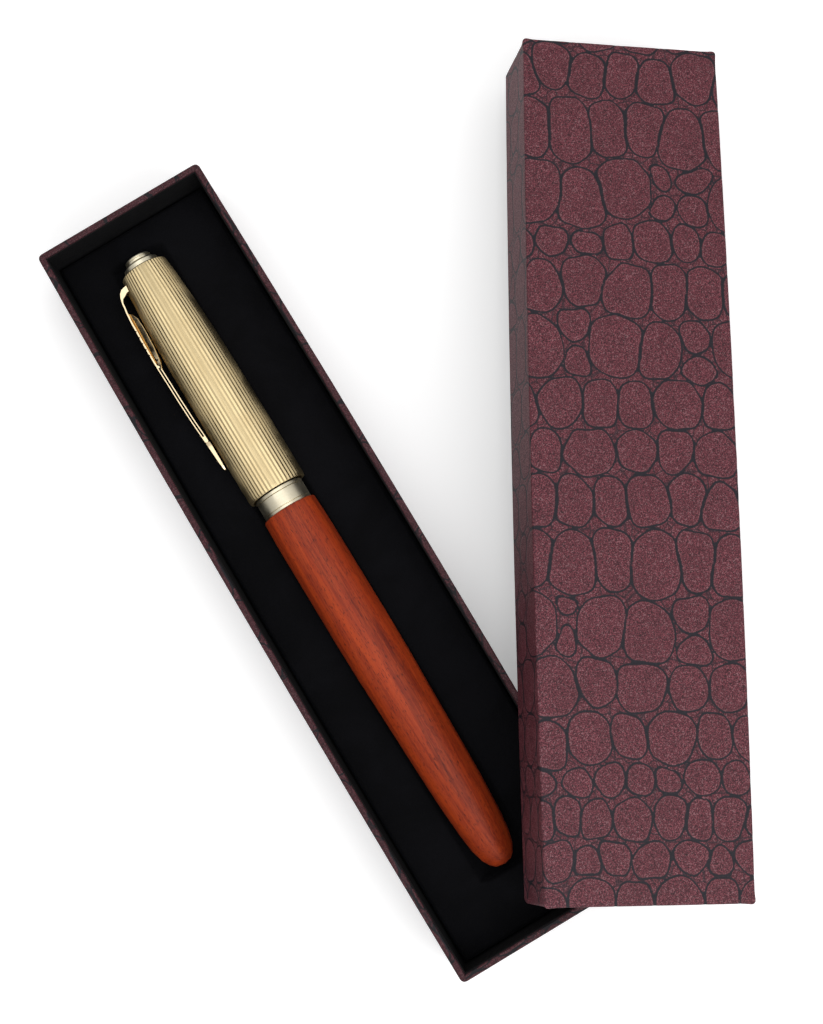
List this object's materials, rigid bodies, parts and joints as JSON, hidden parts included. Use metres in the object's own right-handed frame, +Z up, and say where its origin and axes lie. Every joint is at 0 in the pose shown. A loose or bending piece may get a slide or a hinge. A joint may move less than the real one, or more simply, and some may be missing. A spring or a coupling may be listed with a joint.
{
  "type": "fountain pen case",
  "caption": "Rigid paper-covered pen box: tray with a flocked bed holding a capped fountain pen, and a lift-off lid leaning on the tray's rim.",
  "frame": {"origin": "middle of the tray's underside, on the table", "axes": "+Z up; +Y along the tray towards the pen's cap end; +X across the tray towards the lid"},
  "size_m": [0.1388, 0.1781, 0.0375],
  "materials": {
    "greyboard": "matte",
    "stay_paper": "matte",
    "crocodile_paper": "satin",
    "black_paper": "matte",
    "bed_foam": "matte",
    "black_flock": "matte",
    "pale_gold": "satin",
    "champagne": "polished",
    "black_plastic": "gloss",
    "gold_steel": "polished",
    "hard_alloy": "polished",
    "clear_plastic": "gloss",
    "bright_metal": "polished",
    "seal_rubber": "matte",
    "red_wood": "satin",
    "sleeve_brass": "satin"
  },
  "bodies": {
    "tray": {"tray_board": "greyboard", "tray_corner_stays": "stay_paper", "tray_wrap": "crocodile_paper", "tray_liner": "black_paper", "bed_foam": "bed_foam", "bed_velvet": "black_flock"},
    "lid": {"lid_board": "greyboard", "lid_corner_stays": "stay_paper", "lid_wrap": "crocodile_paper", "lid_liner": "black_paper"},
    "pen": {"grip_section": "black_plastic", "coupling_ring": "champagne", "feed": "black_plastic", "nib": "gold_steel", "nib_point": "hard_alloy", "converter_tube": "clear_plastic", "converter_collar": "bright_metal", "converter_guide": "black_plastic"},
    "cap": {"cap_shell": "pale_gold", "cap_liner": "black_plastic", "finial_ring": "champagne", "finial_screw": "champagne"},
    "clip": {"clip": "pale_gold"},
    "barrel": {"barrel_wood": "red_wood", "barrel_sleeve": "sleeve_brass"},
    "converter_knob": {"converter_knob": "black_plastic"},
    "piston": {"piston_rod": "black_plastic", "piston_seal": "seal_rubber"}
  },
  "joints": [
    {"name": "lid_lift", "type": "slide", "parent": "tray", "child": "lid", "axis": [0, 0, 1], "range_m": [0, 0.06]},
    {"name": "pen_lift", "type": "slide", "parent": "tray", "child": "pen", "axis": [-0.342, 0, 0.9397], "range_m": [0, 0.15]},
    {"name": "cap_pull", "type": "slide", "parent": "pen", "child": "cap", "axis": [-0.0108, 0.9999, 0], "range_m": [0, 0.0525]},
    {"name": "barrel_pull", "type": "slide", "parent": "pen", "child": "barrel", "axis": [0.0108, -0.9999, 0], "range_m": [0, 0.066]},
    {"name": "clip_flex", "type": "hinge", "parent": "cap", "child": "clip", "pos_m": [-0.00667, 0.06899, 0.01247], "axis": [-0.0349, -0.0004, -0.9994], "range_deg": [0, 3.5], "stiffness_Nm_per_rad": 0.6},
    {"name": "knob_turn", "type": "hinge", "parent": "pen", "child": "converter_knob", "pos_m": [-0.00122, 0.018, 0.0123], "axis": [0.0108, -0.9999, 0], "range_deg": [0, 1980]},
    {"name": "piston_draw", "type": "slide", "parent": "pen", "child": "piston", "axis": [0.0108, -0.9999, 0], "range_m": [0, 0.0165]}
  ],
  "couplings": [
    {"joint": "cap_pull", "follows": "pen_lift", "ratio": 0.35},
    {"joint": "barrel_pull", "follows": "pen_lift", "ratio": 0.44},
    {"joint": "knob_turn", "follows": "piston_draw", "rad_per_m": 2094.4}
  ]
}
